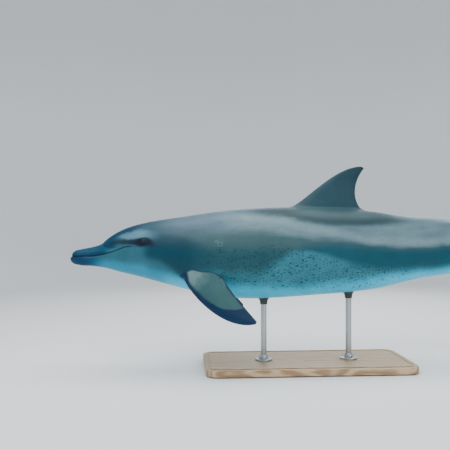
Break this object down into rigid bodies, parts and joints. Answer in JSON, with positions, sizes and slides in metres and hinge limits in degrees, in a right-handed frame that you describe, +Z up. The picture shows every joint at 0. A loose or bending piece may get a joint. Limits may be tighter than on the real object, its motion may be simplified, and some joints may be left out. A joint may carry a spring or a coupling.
{
  "type": "bottlenose dolphin model",
  "caption": "Life-size, still model of a swimming bottlenose dolphin with a speckled belly, held level above a flat display base by slim steel rods.",
  "frame": {"origin": "centre of the underside of the stand's base, midway between the two rods", "axes": "+Z up, the beak points along -X and the tail along +X, the animal's left side faces -Y"},
  "size_m": [2.4765, 0.602, 0.981],
  "materials": {
    "skin_grey": "smooth satin skin, blue-grey back and slate flank over a pale speckled belly",
    "skin_dark": "smooth satin skin, dark slate",
    "skin_pale": "smooth satin skin, pale throat",
    "eye": "wet gloss, near black",
    "stand_board": "satin paint on a board",
    "stand_steel": "brushed"
  },
  "bodies": {
    "root": {"upper_beak": "skin_dark", "lower_jaw": "skin_pale", "head": "skin_grey", "blowhole_plug": "skin_dark", "eye_left": "eye", "eye_right": "eye", "trunk": "skin_grey", "tail_stock": "skin_grey", "dorsal_fin": "skin_dark", "flipper_left": "skin_dark", "flipper_right": "skin_dark", "fluke_left": "skin_dark", "fluke_right": "skin_dark", "stand_base": "stand_board", "stand_flange_front": "stand_steel", "stand_flange_rear": "stand_steel", "stand_rod_front": "stand_steel", "stand_rod_rear": "stand_steel"}
  },
  "joints": []
}
